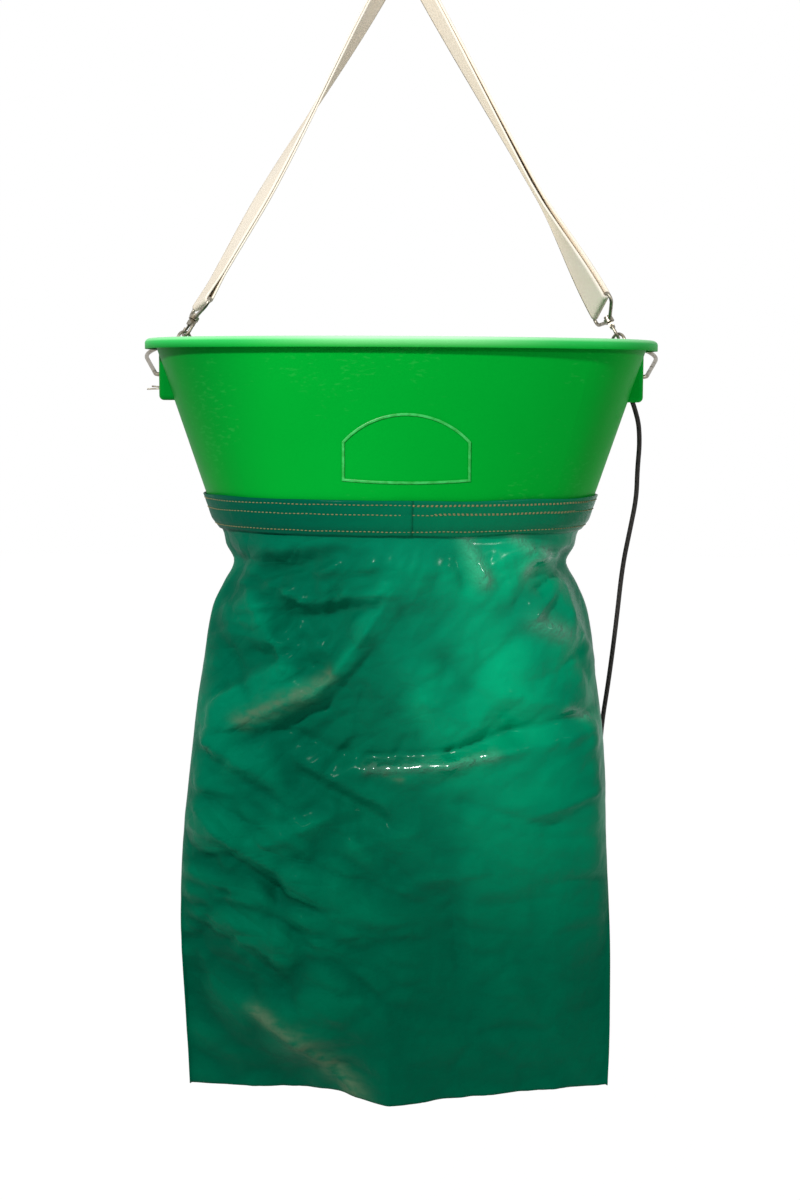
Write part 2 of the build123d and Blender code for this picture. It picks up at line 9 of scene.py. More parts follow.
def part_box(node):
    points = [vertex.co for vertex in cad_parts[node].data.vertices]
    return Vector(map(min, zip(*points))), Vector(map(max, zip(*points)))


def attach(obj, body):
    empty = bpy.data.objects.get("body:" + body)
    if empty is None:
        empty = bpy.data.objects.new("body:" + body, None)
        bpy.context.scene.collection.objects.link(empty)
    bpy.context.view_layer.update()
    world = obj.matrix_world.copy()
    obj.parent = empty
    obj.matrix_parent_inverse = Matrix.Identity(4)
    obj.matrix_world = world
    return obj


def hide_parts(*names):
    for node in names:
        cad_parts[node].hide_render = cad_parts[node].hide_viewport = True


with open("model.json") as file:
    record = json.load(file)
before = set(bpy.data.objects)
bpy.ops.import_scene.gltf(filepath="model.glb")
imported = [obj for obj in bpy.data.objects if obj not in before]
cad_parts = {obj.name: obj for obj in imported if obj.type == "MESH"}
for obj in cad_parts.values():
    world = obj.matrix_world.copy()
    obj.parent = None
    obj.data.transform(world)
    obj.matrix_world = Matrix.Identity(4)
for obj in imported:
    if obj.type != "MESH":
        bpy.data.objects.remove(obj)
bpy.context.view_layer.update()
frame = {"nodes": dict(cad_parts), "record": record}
nodes = frame["nodes"]


# Tub: one injection moulding in bright green polyethylene, open at both ends.
# Its wall is smooth and a little wavy, with painted shade darkening it towards the left end.
# The turned-down rim is paler, partly worn where hands hold it and partly a painted highlight
# from the light above, with a paler painted highlight along its top edge.
class Value:
    """A number, colour or vector on its way through a material's nodes."""

    def __init__(self, tree, socket):
        self.tree = tree
        self.socket = socket

    def node(self, kind, sockets, out=0, **settings):
        """Any node, its sockets joined to values or set to constants, and one of its outputs."""
        made = self.tree.nodes.new(kind)
        for name, setting in settings.items():
            setattr(made, name, setting)
        for name, value in sockets.items():
            if isinstance(value, Value):
                self.tree.links.new(value.socket, made.inputs[name])
            else:
                made.inputs[name].default_value = value
        return Value(self.tree, made.outputs[out])

    def __add__(self, other):
        return self.node("ShaderNodeMath", {0: self, 1: other}, operation="ADD")

    def __rsub__(self, other):
        return self.node("ShaderNodeMath", {0: other, 1: self}, operation="SUBTRACT")

    def __mul__(self, other):
        return self.node("ShaderNodeMath", {0: self, 1: other}, operation="MULTIPLY")

    __radd__ = __add__
    __rmul__ = __mul__

    def ramp(self, low, high):
        """0 at low and 1 at high, with soft ends."""
        return self.node(
            "ShaderNodeMapRange", {"Value": self, "From Min": low, "From Max": high},
            interpolation_type="SMOOTHSTEP",
        )

    def tint(self, first, second):
        """The colour that this share of the way from first to second gives."""
        return self.node("ShaderNodeMix", {0: self, 6: first, 7: second}, out=2, data_type="RGBA")

    def stretch(self, factors):
        """These coordinates, each times its own factor."""
        return self.node("ShaderNodeVectorMath", {0: self, 1: factors}, operation="MULTIPLY")

    def grain(self, scale, detail=2.0, factors=(1, 1, 1)):
        """Noise on these coordinates, a number from 0 to 1."""
        spread = self.stretch(factors)
        return self.node("ShaderNodeTexNoise", {"Vector": spread, "Scale": scale, "Detail": detail})

    def wave(self, direction, scale, distortion, detail=2.0):
        """Even bands on these coordinates."""
        return self.node(
            "ShaderNodeTexWave",
            {"Vector": self, "Scale": scale, "Distortion": distortion, "Detail": detail},
            bands_direction=direction,
        )

    def cells(self, scale):
        """Cells on these coordinates, 0 along their edges."""
        return self.node(
            "ShaderNodeTexVoronoi", {"Vector": self, "Scale": scale, "Randomness": 1.0},
            feature="DISTANCE_TO_EDGE",
        )

    def marked(self, layer):
        """The number that the mesh's points carry under this name."""
        return self.node("ShaderNodeAttribute", {}, out=2, attribute_name=layer)

    def part(self, axis):
        """One of the three coordinates, 0 for X, 1 for Y, 2 for Z."""
        return self.node("ShaderNodeSeparateXYZ", {0: self}, out=axis)

    def bump(self, depth):
        """The surface's direction, with this height raised to a depth in metres."""
        return self.node("ShaderNodeBump", {"Height": self, "Distance": depth, "Strength": 1.0})


def colour(red, green, blue):
    """A colour written as on a screen, 0 to 255, in the linear numbers that materials use."""
    linear = []
    for part in (red, green, blue):
        share = part / 255
        linear.append(share / 12.92 if share <= 0.04045 else ((share + 0.055) / 1.055) ** 2.4)
    return (*linear, 1.0)


def new_finish(name):
    """A material, its surface coordinates, and a way to give its shader values or constants."""
    material = bpy.data.materials.new(name)
    material.use_nodes = True
    tree = material.node_tree
    shader = tree.nodes["Principled BSDF"]
    here = Value(tree, tree.nodes.new("ShaderNodeTexCoord").outputs["Object"])

    def feed(**values):
        for label, value in values.items():
            socket = shader.inputs[label.replace("_", " ")]
            if isinstance(value, Value):
                tree.links.new(value.socket, socket)
            else:
                socket.default_value = value

    return material, here, feed


tub_green, here, feed = new_finish("moulded_green")
x_here, z_here = here.part(0), here.part(2)
shaded_left_end = x_here.ramp(-0.10, -0.21)
handled = x_here.ramp(-0.16, -0.02) * x_here.ramp(0.16, 0.04)
rim_edge = z_here.ramp(-0.3905, -0.3815)
lip_edge = z_here.ramp(-0.3838, -0.3806)
wall = here.grain(5.0, 3.0).tint(colour(0, 142, 36), colour(2, 156, 44))
# Painted shade: the wall is darkened towards its left end.
wall = (shaded_left_end * 0.75).tint(wall, colour(0, 104, 30))
# The rim band is lighter, partly as a painted highlight from the light above and partly worn paler
# where hands hold it; its rounded top edge carries a paler painted highlight.
rim_lit_and_worn = handled.tint(colour(52, 188, 90), colour(128, 218, 140))
lip_highlight_and_wear = handled.tint(colour(150, 232, 164), colour(194, 244, 200))
lit_and_worn = lip_edge.tint(rim_edge.tint(wall, rim_lit_and_worn), lip_highlight_and_wear)
scuff = (here.grain(140.0, 4.0, (1, 1, 3)) * here.grain(9.0)).ramp(0.33, 0.44)
feed(
    Base_Color=(scuff * 0.05).tint(lit_and_worn, colour(110, 214, 130)),
    Roughness=0.46 + 0.10 * here.grain(30.0, 3.0) + 0.08 * scuff,
    Normal=(here.grain(700.0) * 0.05 + here.grain(14.0)).bump(0.0009),
    Specular_IOR_Level=0.10,
    Specular_Tint=(0.02, 1.0, 0.3, 1),
)
nodes["tub"].material_slots[0].material = tub_green

# Panel: a bare raised line with an arched top on the front of the tub, moulded with the wall.
# It stands a little over a millimetre proud, and follows the wall's curve and lean.
tub_y = -0.200
rim_z = -0.380
tub_height = 0.166
mouth = (0.464, 0.264, 0.102)
base = (0.352, 0.244, 0.098)


def wall_at(drop):
    """Width, depth and end radius of the tub's outside, this far below the top of its rim."""
    share = drop / tub_height
    return tuple(top + (low - top) * share for top, low in zip(mouth, base))


def flat_side(width, depth, end):
    """Radius of the long flat sides of a four-arc oval."""
    return ((width / 2 - end) ** 2 + (depth / 2) ** 2 - end**2) / (depth - 2 * end)


def front_of_tub(x, drop):
    """Y of the outside of the front wall."""
    width, depth, end = wall_at(drop)
    side = flat_side(width, depth, end)
    return tub_y - depth / 2 + side - math.sqrt(side**2 - x**2)


panel_x = 0.005
panel_half = 0.0568
panel_foot = 0.1266
panel_shoulder = 0.0916
panel_top = 0.0664
foot_sag = 0.0022
line_width = 0.0024
line_height = 0.0016
line_sunk = 0.0003
line_round = 0.0006
arch_steps = 28
foot_cuts = 9
near = 0.001
shape = bmesh.new()
rise = panel_shoulder - panel_top
arch_radius = (panel_half**2 + rise**2) / (2 * rise)
arch_turn = 2 * math.asin(panel_half / arch_radius)
corner = shape.verts.new((-panel_half, 0, -panel_shoulder))
bmesh.ops.spin(
    shape, geom=[corner], cent=(0, 0, -panel_top - arch_radius), axis=(0, 1, 0),
    angle=arch_turn, steps=arch_steps, use_duplicate=False,
)
right = max(shape.verts, key=lambda v: v.co.x)
left = min(shape.verts, key=lambda v: v.co.x)
foot_left = shape.verts.new((-panel_half, 0, -panel_foot))
foot_right = shape.verts.new((panel_half, 0, -panel_foot))
foot_edge = shape.edges.new((foot_left, foot_right))
shape.edges.new((left, foot_left))
shape.edges.new((foot_right, right))
bmesh.ops.subdivide_edges(shape, edges=[foot_edge], cuts=foot_cuts)
for vert in shape.verts:
    if vert.co.z < -panel_foot + near:
        vert.co.z -= foot_sag * (1 - (vert.co.x / panel_half) ** 2)
bmesh.ops.contextual_create(shape, geom=shape.edges[:])
bmesh.ops.inset_region(
    shape, faces=shape.faces[:], thickness=line_width, use_even_offset=True, use_boundary=True,
)
inside = max(shape.faces, key=lambda f: f.calc_area())
bmesh.ops.delete(shape, geom=[inside], context="FACES_ONLY")
raised = bmesh.ops.extrude_face_region(shape, geom=shape.faces[:])["geom"]
lifted = [item for item in raised if isinstance(item, bmesh.types.BMVert)]
bmesh.ops.translate(shape, verts=lifted, vec=(0, -line_height, 0))
top_edges = [edge for edge in shape.edges if all(vert in lifted for vert in edge.verts)]
sharp = [edge for edge in top_edges if len(edge.link_faces) == 2 and edge.calc_face_angle(0) > 1]
bmesh.ops.bevel(
    shape, geom=sharp, offset=line_round, affect="EDGES", segments=2, profile=0.5, material=-1,
)
bmesh.ops.recalc_face_normals(shape, faces=shape.faces[:])
for vert in shape.verts:
    x, y, z = vert.co
    vert.co = (x + panel_x, front_of_tub(x + panel_x, -z) + y + line_sunk, rim_z + z)


def new_piece(name, shape, finish, smooth=True):
    """A mesh object made from a finished bmesh, riding on the basket."""
    mesh = bpy.data.meshes.new(name)
    shape.to_mesh(mesh)
    shape.free()
    for face in mesh.polygons:
        face.use_smooth = smooth
    piece = bpy.data.objects.new(name, mesh)
    bpy.context.scene.collection.objects.link(piece)
    mesh.materials.append(finish)
    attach(piece, "basket")
    return piece


pale_line, here, feed = new_finish("lit_and_rubbed_moulding")
# The line is lighter than the wall in patches, partly rubbed wear and partly a painted highlight
# along its raised edges.
rubbed_and_lit = here.grain(160.0, 3.0).ramp(0.35, 0.65)
feed(
    Base_Color=rubbed_and_lit.tint(colour(8, 148, 46), colour(40, 172, 76)),
    Roughness=0.4 + 0.1 * rubbed_and_lit,
    Normal=here.grain(700.0).bump(0.00005),
)
new_piece("panel_frame", shape, pale_line, smooth=False)

# Bail, split pin, rim eyes, plates, hooks, gates and loops: bent and pressed galvanised steel.
# The zinc is dull and mottled, with warm grime in patches and brighter rubbed spots.
galvanised, here, feed = new_finish("galvanised_wire")
spangle = here.grain(420.0, 3.0)
grime = here.grain(160.0, 4.0).ramp(0.52, 0.70)
zinc = spangle.tint(colour(112, 106, 92), colour(168, 162, 148))
feed(
    Base_Color=(grime * 0.7).tint(zinc, colour(88, 70, 42)),
    Roughness=0.26 + 0.2 * spangle + 0.25 * grime,
    Metallic=1 - grime * 0.5,
    Normal=here.grain(900.0, 3.0).bump(0.00012),
)
for name in ("bail", "cord_catch"):
    nodes[name].material_slots[0].material = galvanised
for side in ("left", "right"):
    for name in ("strap_loop", "hook", "gate", "gate_pin", "rim_eye", "eye_plate"):
        nodes[side + "_" + name].material_slots[0].material = galvanised

# Sleeve: a tube of green coated fabric, sewn round the foot of the tub and open below.
# It is gathered in at both ends under the band, creased all over, and cut raw at the bottom.
# Each section is a drop below the rim, a width, a depth and an end radius.
sleeve_sections = (
    (0.150, 0.3650, 0.2480, 0.0990),
    (0.166, 0.3544, 0.2464, 0.0992),
    (0.178, 0.3370, 0.2380, 0.0952),
    (0.190, 0.3290, 0.2415, 0.0966),
    (0.2055, 0.3085, 0.2468, 0.0987),
    (0.227, 0.3300, 0.2323, 0.0929),
    (0.246, 0.3485, 0.2126, 0.0851),
    (0.266, 0.3605, 0.2026, 0.0810),
    (0.294, 0.3705, 0.1940, 0.0776),
    (0.368, 0.3920, 0.1660, 0.0664),
    (0.468, 0.4085, 0.1480, 0.0592),
    (0.568, 0.4180, 0.1310, 0.0524),
    (0.650, 0.4160, 0.1260, 0.0504),
    (0.725, 0.4115, 0.1210, 0.0484),
)


def sleeve_size(drop):
    """Width, depth and end radius of the sleeve, on a smooth line through its sections."""
    last = len(sleeve_sections) - 2
    place = 0
    while place < last and sleeve_sections[place + 1][0] <= drop:
        place += 1
    before = sleeve_sections[max(place - 1, 0)]
    start, stop = sleeve_sections[place], sleeve_sections[place + 1]
    after = sleeve_sections[min(place + 2, last + 1)]
    run = stop[0] - start[0]
    share = (drop - start[0]) / run
    sizes = []
    for column in (1, 2, 3):
        lean_in = run * (stop[column] - before[column]) / (stop[0] - before[0])
        lean_out = run * (after[column] - start[column]) / (after[0] - start[0])
        sizes.append(
            start[column] * (1 + 2 * share) * (1 - share) ** 2 + lean_in * share * (1 - share) ** 2
            + stop[column] * share**2 * (3 - 2 * share) + lean_out * share**2 * (share - 1)
        )
    return sizes


def oval_point(width, depth, end, share):
    """Place and outward direction on a four-arc oval; share runs from the rear by the left end."""
    side = flat_side(width, depth, end)
    reach = width / 2 - end
    swing = math.atan2(side - depth / 2, reach)
    flat, bend = side * (math.pi - 2 * swing), end * 2 * swing
    along = (share % 1.0) * 2 * (flat + bend) + flat / 2
    if along < flat or along >= 2 * (flat + bend):
        angle = swing + (along % (2 * (flat + bend))) / side
        centre = Vector((0, depth / 2 - side))
        radius = side
    elif along < flat + bend:
        angle = math.pi - swing + (along - flat) / end
        centre = Vector((-reach, 0))
        radius = end
    elif along < 2 * flat + bend:
        angle = math.pi + swing + (along - flat - bend) / side
        centre = Vector((0, side - depth / 2))
        radius = side
    else:
        angle = 2 * math.pi - swing + (along - 2 * flat - bend) / end
        centre = Vector((reach, 0))
        radius = end
    out = Vector((math.cos(angle), math.sin(angle)))
    return centre + out * radius, out


def step(value, low, high):
    """0 below low and 1 above high, with soft ends."""
    share = min(max((value - low) / (high - low), 0), 1)
    return share * share * (3 - 2 * share)


# Folds on the front: from (x, drop) to (x, drop), half width and height, all in millimetres.
# A negative height is a valley.
front_folds = (
    (-161, 362, -74, 323, 15, 9), (-74, 323, -30, 265, 14, 9), (-30, 265, -15, 240, 11, 5),
    (-150, 378, -70, 338, 10, -6), (-66, 334, -22, 280, 9, -5),
    (-150, 207, -88, 238, 9, 6), (-88, 238, -15, 226, 9, 5), (-92, 252, -20, 240, 9, -5),
    (-157, 232, -57, 184, 14, -7), (-150, 225, -60, 205, 7, 4), (-150, 215, -105, 300, 9, 5),
    (-176, 341, -117, 301, 9, 5), (-134, 290, -80, 298, 8, -5), (-130, 275, -70, 283, 8, 4),
    (-176, 262, -140, 330, 12, -5), (-111, 360, -52, 382, 9, -5), (-90, 401, -9, 445, 10, -6),
    (-95, 388, -10, 430, 9, 4), (-186, 385, -102, 434, 11, -6), (-186, 370, -110, 415, 10, 4),
    (-30, 396, 46, 388, 8, 6), (46, 388, 101, 374, 8, 6), (101, 374, 178, 360, 10, 4),
    (-30, 384, 46, 377, 8, -5), (46, 377, 104, 358, 9, -6), (104, 358, 190, 340, 12, -6),
    (118, 258, 136, 266, 7, 5), (30, 330, 70, 352, 10, 4), (95, 322, 150, 336, 12, 4),
    (40, 287, 93, 345, 14, -4), (60, 178, 72, 215, 6, 5), (48, 180, 58, 220, 8, -4),
    (104, 176, 128, 200, 7, 5), (158, 196, 122, 186, 6, -9), (158, 204, 124, 226, 6, -9),
    (142, 198, 104, 180, 8, 6), (148, 212, 112, 250, 9, 7),
    (150, 205, 120, 215, 7, -5), (152, 215, 150, 280, 9, 4), (150, 220, 70, 300, 13, -4),
    (-181, 493, -156, 487, 8, -4), (-156, 487, -113, 516, 10, -6), (-113, 516, -67, 537, 9, -5),
    (-150, 474, -100, 500, 9, 4), (-132, 585, -104, 611, 9, -5), (-201, 555, -161, 573, 9, -5),
    (-195, 540, -150, 556, 9, 4), (84, 516, 189, 501, 14, 2), (92, 530, 186, 520, 14, -2),
    (56, 528, 60, 592, 12, -3), (72, 525, 74, 590, 12, 2), (20, 503, 78, 497, 7, 3),
    (104, 608, 170, 684, 12, 3), (-150, 632, -95, 668, 9, 5), (-95, 668, -44, 720, 9, 6),
    (-40, 470, 20, 455, 10, 3), (60, 425, 140, 450, 13, -4),
    (120, 440, 185, 420, 11, 4), (-60, 440, -120, 470, 10, 4), (10, 300, 40, 360, 16, 4),
    (160, 290, 186, 330, 9, -4), (165, 270, 184, 300, 8, 4), (-190, 440, -150, 470, 9, 5),
)
# Broad swells, in the same way: the sheet comes forward at the right and hangs back at the left.
swells = (
    (128, 270, 138, 400, 70, 13), (118, 320, 130, 560, 85, 6), (-80, 255, -50, 360, 55, -9),
    (-150, 400, -120, 520, 60, 6), (20, 470, 60, 560, 60, -4),
)
# Dust rubbed into the big fold and along the ridge at the bottom, in the same way without heights.
dust_lines = (
    (-140, 350, -84, 322, 8), (-84, 322, -64, 305, 6), (-133, 640, -92, 668, 8),
    (-92, 668, -55, 704, 12), (-55, 704, -42, 722, 12), (-10, 398, 2, 402, 3),
)
# Fine wrinkles that catch the light, as the dust lines are written.
glint_lines = (
    (58, 176, 72, 214, 7), (104, 178, 114, 188, 6), (128, 194, 114, 206, 7), (120, 256, 138, 266, 9),
    (-26, 393, 46, 386, 5), (46, 386, 84, 379, 5), (150, 340, 170, 348, 4),
)


end_reach = 0.8


def beside(x, drop, line):
    """Distance from a line in half widths; the way past an end counts for a little less."""
    x0, d0, x1, d1, half = line[:5]
    run = math.hypot(x1 - x0, d1 - d0)
    ahead = ((x - x0) * (x1 - x0) + (drop - d0) * (d1 - d0)) / run
    off = abs((x - x0) * (d1 - d0) - (drop - d0) * (x1 - x0)) / run
    over = max(-ahead, ahead - run, 0)
    return math.hypot(off, over * end_reach) / half


def nearness(x, drop, lines):
    """1 on any of these lines, falling to 0 beside them."""
    return max(math.exp(-(beside(x, drop, line) ** 2)) for line in lines)


# The sheet crumples in the same way each time.
noise.seed_set(4)
facet_stretch = 1.7
warp_scale, warp = 0.6, 0.55
crest_limit, crest_middle = 0.6, 0.25


def crumple(x, drop, cell, seed, slope):
    """Long flat facets with sharp creases between them, as in a sheet that was folded up small."""
    along = x * math.cos(slope) - drop * math.sin(slope)
    over = x * math.sin(slope) + drop * math.cos(slope)
    spot = Vector((along / cell / facet_stretch, over / cell, seed))
    spot += noise.noise_vector(spot * warp_scale) * warp
    reach = noise.voronoi(spot)[0]
    return min(reach[1] - reach[0], crest_limit) - crest_middle


# Facets, large to small: cell and height in millimetres, seed, turn, and what their share gains.
facet_sizes = ((62, 19.0, 0, 0.0, 0.0), (29, 10.0, 2, 0.3, 0.0), (13, 2.6, 4, -0.3, 0.2))
upper_slope, lower_slope = 0.62, -0.5
front_seed, rear_seed = 3.0, 9.0

# Near the foot the front sheet lies back at the left, stands out left of the middle and slopes
# away to the right: how far it stands out at these places across, in millimetres, on two lines.
front_places = (-205, -150, -100, -60, -10, 70, 150, 205)
ridge_stands = (0, 30, 53, 60, 62, 41, 22, 0)
foot_stands = (0, 8, 10, 18, 60, 33, 13, 0)


def stands_out(x, line):
    """How far the front sheet stands out at a place across."""
    x = min(max(x, front_places[0]), front_places[-1])
    for number in range(len(front_places) - 1):
        start, stop = front_places[number], front_places[number + 1]
        if x <= stop:
            share = (x - start) / (stop - start)
            bend = 0.5 * share + 0.5 * share * share * (3 - 2 * share)
            return line[number] + (line[number + 1] - line[number]) * bend


columns = 236
rows = 176
crowding = 0.42
sleeve_top = 0.152
sleeve_foot = 0.725
sleeve_thick = 0.0009
tighter = 0.28
fold_gain = 1.5
fold_reach = 4
least_rough, more_rough = 0.40, 0.60
held_at_ends = 0.9
held_sideways = 0.75
pleat_height = 5.0
pleat_turns, pleat_lean = 12, 0.02
# Where changes come in, from one drop below the rim to another, in millimetres.
sheet_free = (178, 200)
corners_tighten = (195, 280)
slope_changes = (380, 450)
creases_calm = (560, 700)
pinch_starts, pinch_stops = (176, 204), (235, 330)
front_stands = (420, 650)
ridge_to_foot = (636, 728)
# The whole tube sways from side to side: how far to the right in metres, and between which drops.
sways = ((0.0052, 500, 725), (-0.001, 215, 285), (-0.003, 370, 490))
shape = bmesh.new()
shape.loops.layers.uv.new("weave")
dust = shape.verts.layers.float.new("dust")
fold_height = shape.verts.layers.float.new("fold")
glint = shape.verts.layers.float.new("glint")
bmesh.ops.create_grid(shape, x_segments=columns, y_segments=rows, size=0.5, calc_uvs=True)
for vert in shape.verts:
    turn = vert.co.x + 0.5
    share = turn + crowding / (2 * math.pi) * math.sin(2 * math.pi * turn)
    drop = sleeve_top + (sleeve_foot - sleeve_top) * (0.5 - vert.co.y)
    mm = drop * 1000
    width, depth, radius = sleeve_size(drop)
    if 0.25 < share < 0.75:
        radius *= 1 - tighter * step(mm, *corners_tighten)
    place, out = oval_point(width, depth, radius, share)
    x = place.x * 1000
    front = step(-out.y, -0.05, 0.35)
    end = 1 - step(abs(out.y), 0.05, 0.6)
    free = step(mm, *sheet_free)
    height = 0.0
    for fold in front_folds:
        away = beside(x, mm, fold)
        if away < fold_reach:
            height += fold_gain * front * fold[5] * math.exp(-away)
    for swell in swells:
        height += front * swell[5] * math.exp(-(beside(x, mm, swell) ** 2))
    rough = least_rough + more_rough * step(-x, -60, 120) * (1 - step(mm, *creases_calm))
    facing = front_seed if out.y < 0 else rear_seed
    lower_down = step(mm, *slope_changes)
    for slope, weight in ((upper_slope, 1 - lower_down), (lower_slope, lower_down)):
        if weight > 0:
            for cell, tall, seed, turned, added in facet_sizes:
                facet = crumple(x, mm, cell, facing + seed, slope + turned)
                height += weight * (added + rough) * tall * facet
    # The relief is held back at the two pinched ends, and pleats are gathered there.
    pinch = end * step(mm, *pinch_starts) * (1 - step(mm, *pinch_stops))
    height *= (1 - held_at_ends * end) * free
    pleat = free * pinch * pleat_height * math.sin(out.y * pleat_turns + pleat_lean * mm)
    sideways = 1 - held_sideways * step(abs(out.x), 0.5, 0.9)
    place.x += out.x * (height * sideways + pleat) / 1000
    height += pleat
    place.y += out.y * height / 1000
    if out.y < 0 and mm > front_stands[0]:
        ridge = stands_out(x, ridge_stands)
        line = ridge + (stands_out(x, foot_stands) - ridge) * step(mm, *ridge_to_foot)
        change = step(mm, *front_stands) * step(-out.y, 0.0, 0.35)
        relief = out.y * height / 1000
        place.y += change * (-line / 1000 + relief - place.y)
    sway = sum(far * step(mm, start, stop) for far, start, stop in sways)
    vert.co = (place.x + sway, tub_y + place.y, rim_z - drop)
    vert[dust] = front * nearness(x, mm, dust_lines)
    vert[fold_height] = height / 1000
    vert[glint] = front * nearness(x, mm, glint_lines)
same_point = 0.00002
bmesh.ops.remove_doubles(shape, verts=shape.verts[:], dist=same_point)


def turn_outwards(shape):
    """Faces of an open tube round the tub's axis point away from the axis."""
    bmesh.ops.recalc_face_normals(shape, faces=shape.faces[:])
    axis = Vector((0, tub_y, 0))
    outward = sum(face.normal.xy.dot((face.calc_center_median() - axis).xy) for face in shape.faces)
    if outward < 0:
        bmesh.ops.reverse_faces(shape, faces=shape.faces[:])


def thicken(piece, thickness, offset):
    """A sheet's two faces: offset -1 is inwards from the modelled one, 0 to both sides."""
    sheet = piece.modifiers.new("sheet", "SOLIDIFY")
    sheet.thickness = thickness
    sheet.offset = offset


turn_outwards(shape)
coated, here, feed = new_finish("coated_green_fabric")
x_here, z_here = here.part(0), here.part(2)
low = z_here.ramp(-0.60, -1.02)
lower_half = z_here.ramp(-0.74, -0.84)
near_foot = z_here.ramp(-0.98, -1.05)
banded = z_here.ramp(-0.5575, -0.5540)
# Painted light: the sleeve and band are coloured darker at the left and lighter at the right, and the
# right side is also made glossier.
lit_right_side = x_here.ramp(-0.14, 0.10)
short_of_end = x_here.ramp(0.17, 0.10)
crest = here.marked("fold").ramp(-0.005, 0.006)
wrinkles = here.marked("glint")
powder = here.marked("dust") * here.grain(60.0, 4.0, (1, 1, 2.0)).ramp(0.25, 0.70)
shade = here.grain(7.0, 3.0)
upper_lit_right = lit_right_side.tint(colour(0, 96, 70), colour(0, 160, 111))
# Painted shade: the sleeve's colour darkens towards its foot.
lower_shaded = shade.tint(colour(0, 82, 57), colour(0, 89, 63))
cloth = low.tint(shade.ramp(0.3, 0.7).tint(upper_lit_right, colour(0, 114, 82)), lower_shaded)
# The band is coloured darker than the sleeve, with painted light making it lighter to the right.
cloth = banded.tint(cloth, lit_right_side.tint(colour(0, 84, 62), colour(0, 112, 74)))
# Painted shade: the valleys of the folds are darkened, more at the left than at the right.
cloth = ((1 - crest) * (0.55 - 0.2 * lit_right_side)).tint(cloth, colour(0, 52, 38))
threads = here.node("ShaderNodeTexCoord", {}, out="UV").stretch((520.0, 320.0, 1.0))
scrim = threads.wave("X", 1.0, 0.4) * threads.wave("Y", 1.0, 0.4)
creases = 0.0
for slope, weight in ((-0.6, 1 - lower_half), (0.35, lower_half)):
    turned = here.node(
        "ShaderNodeMapping", {"Vector": here, "Rotation": (0, slope, 0), "Scale": (1.7, 1.0, 0.8)},
        vector_type="TEXTURE",
    )
    creases = creases + weight * turned.cells(26.0)
creases = creases * (1.0 - 0.75 * lit_right_side) * (1 - banded) * (1 - 0.7 * near_foot)
crinkle = wrinkles * here.grain(150.0, 2.0) * 3.5
fine = here.cells(70.0) * 0.5 + here.grain(55.0, 4.0) * 0.8 + scrim * 0.03
shine = 0.22 * lit_right_side * (1 - low) + 0.10 * wrinkles
feed(
    Base_Color=(powder * 0.7).tint(cloth, colour(84, 104, 80)),
    Roughness=0.46 - shine + 0.06 * here.grain(40.0, 3.0) + 0.3 * powder,
    Coat_Weight=wrinkles + 0.08 * lit_right_side * (1 - low) * short_of_end,
    Normal=(fine + crinkle + creases * 4.4).bump(0.0014),
    Coat_Roughness=0.15,
    Specular_IOR_Level=0.05,
    Specular_Tint=(0.02, 1.0, 0.7, 1),
)
sleeve = new_piece("sleeve", shape, coated)
thicken(sleeve, sleeve_thick, -1.0)
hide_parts("bag_sleeve")

# Band: a strip of the same fabric laid over the joint and sewn through the tub's foot.
# Its ends lap at the front, and its edges ripple a little between the stitch rows.
band_top = 0.1435
band_foot = 0.1755
band_margin = 0.0030
band_tuck = 0.0012
band_thick = 0.0012
stitch_rows = (0.1475, 0.1562, 0.1712)
lap_at = 0.505
lap_half = 0.006
round_and_lap = 1.012
lap_rises = (0.978, 0.994)
lap_lift = 0.0007
edge_wander, wanders_round = 0.0011, 17
edge_ripple, ripples_round = 0.0007, 60
stitch_pull = 0.00045
pull_reach = 0.0012


def band_point(share, drop):
    """Place and outward direction on the band's outside."""
    if drop < tub_height:
        sizes, margin = wall_at(drop), band_margin
    else:
        sizes, margin = sleeve_size(drop), band_margin - band_tuck
    width, depth, end = sizes[0] + 2 * margin, sizes[1] + 2 * margin, sizes[2] + margin
    place, out = oval_point(width, depth, end, share)
    return Vector((place.x, tub_y + place.y, rim_z - drop)), Vector((out.x, out.y, 0))


shape = bmesh.new()
shape.loops.layers.uv.new("weave")
bmesh.ops.create_grid(shape, x_segments=320, y_segments=16, size=0.5, calc_uvs=True)
for vert in shape.verts:
    turn = vert.co.x + 0.5
    high = vert.co.y + 0.5
    share = lap_at - lap_half + turn * round_and_lap
    drop = band_foot - (band_foot - band_top) * high
    ripple = noise.noise(Vector((share % 1.0 * ripples_round, 4.0, 0.0)))
    edge = abs(2 * high - 1) ** 3
    drop -= edge_wander * noise.noise(Vector((share % 1.0 * wanders_round, 9.0, 0.0))) * edge
    place, out = band_point(share, drop)
    pull = 0.0
    for row in stitch_rows:
        pull -= stitch_pull * math.exp(-(((drop - row) / pull_reach) ** 2))
    lapped = lap_lift * step(turn, *lap_rises)
    vert.co = place + out * (edge_ripple * ripple * edge + pull + lapped)
turn_outwards(shape)
band = new_piece("band", shape, coated)
thicken(band, band_thick, -1.0)
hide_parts("collar_band")

# Stitching: tan thread in three rows round the band, sewn by machine and doubled near the lap.
# Each stitch lies along the row and dips into the fabric at both ends.
thread, here, feed = new_finish("tan_thread")
fibre = here.grain(900.0, 2.0)
feed(
    Base_Color=fibre.tint(colour(98, 94, 56), colour(152, 142, 96)),
    Roughness=0.7 + 0.2 * fibre,
    Normal=here.grain(2200.0).bump(0.0003),
)
shape = bmesh.new()
stitch_step = 0.0041
stitch_share = 0.8
stitch_size = (0.0015, 0.00045, 0.00046, 1)
stitch_wander = 0.0005


